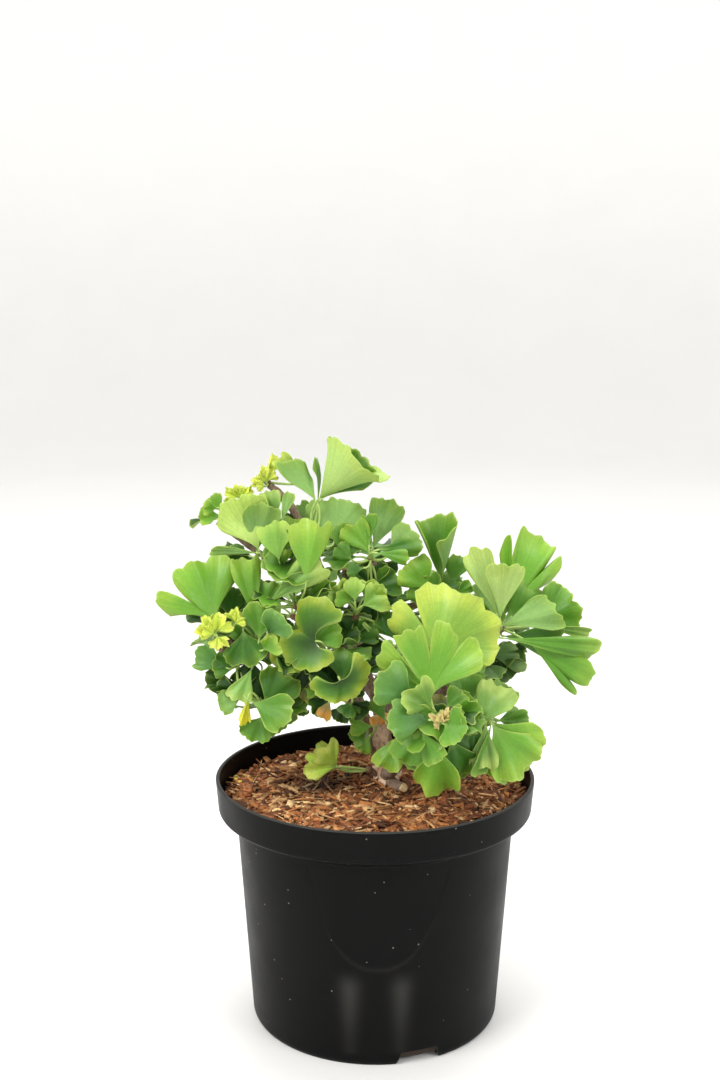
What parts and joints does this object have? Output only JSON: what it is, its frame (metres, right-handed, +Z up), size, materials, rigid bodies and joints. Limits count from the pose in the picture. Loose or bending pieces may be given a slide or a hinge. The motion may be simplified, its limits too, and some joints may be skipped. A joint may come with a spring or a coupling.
{
  "type": "ginkgo bonsai",
  "caption": "Small branching ginkgo tree with fan-shaped leaves, growing from bark mulch in a round tapered nursery pot.",
  "frame": {"origin": "on the ground under the middle of the pot's floor", "axes": "+Z up, -Y towards the side that the plant shows, +X to that side's right"},
  "size_m": [0.2271, 0.1891, 0.3145],
  "materials": {
    "black_plastic": "slightly glossy moulded plastic",
    "dark_compost": "matte crumbs",
    "bark_chips": "matte fibrous chips",
    "ginkgo_bark": "rough bark",
    "green_leaf": "satin leaf",
    "young_yellow_leaf": "satin leaf"
  },
  "bodies": {
    "root": {"pot": "black_plastic", "potting_soil": "dark_compost", "bark_mulch": "bark_chips", "trunk_and_branches": "ginkgo_bark", "top_shoot": "green_leaf", "bowl_shoot": "green_leaf", "upper_left_shoot": "green_leaf", "corner_shoot": "green_leaf", "left_inner_shoot": "green_leaf", "left_fan_shoot": "green_leaf", "left_low_shoot": "green_leaf", "lower_left_shoot": "green_leaf", "centre_left_shoot": "green_leaf", "centre_shoot": "green_leaf", "small_inner_shoot": "green_leaf", "upper_middle_shoot": "green_leaf", "tube_shoot": "green_leaf", "right_shoot": "green_leaf", "right_under_shoot": "green_leaf", "yellow_green_shoot": "green_leaf", "front_rosette": "green_leaf", "right_low_shoot": "green_leaf", "trunk_right_shoot": "green_leaf", "trunk_left_shoot": "green_leaf", "basal_shoot": "green_leaf", "left_yellow_buds": "young_yellow_leaf", "upper_left_buds": "young_yellow_leaf", "leader_buds": "young_yellow_leaf", "back_top_shoot": "green_leaf", "back_left_shoot": "green_leaf", "back_middle_shoot": "green_leaf", "back_right_shoot": "green_leaf", "back_low_shoot": "green_leaf"}
  },
  "joints": []
}
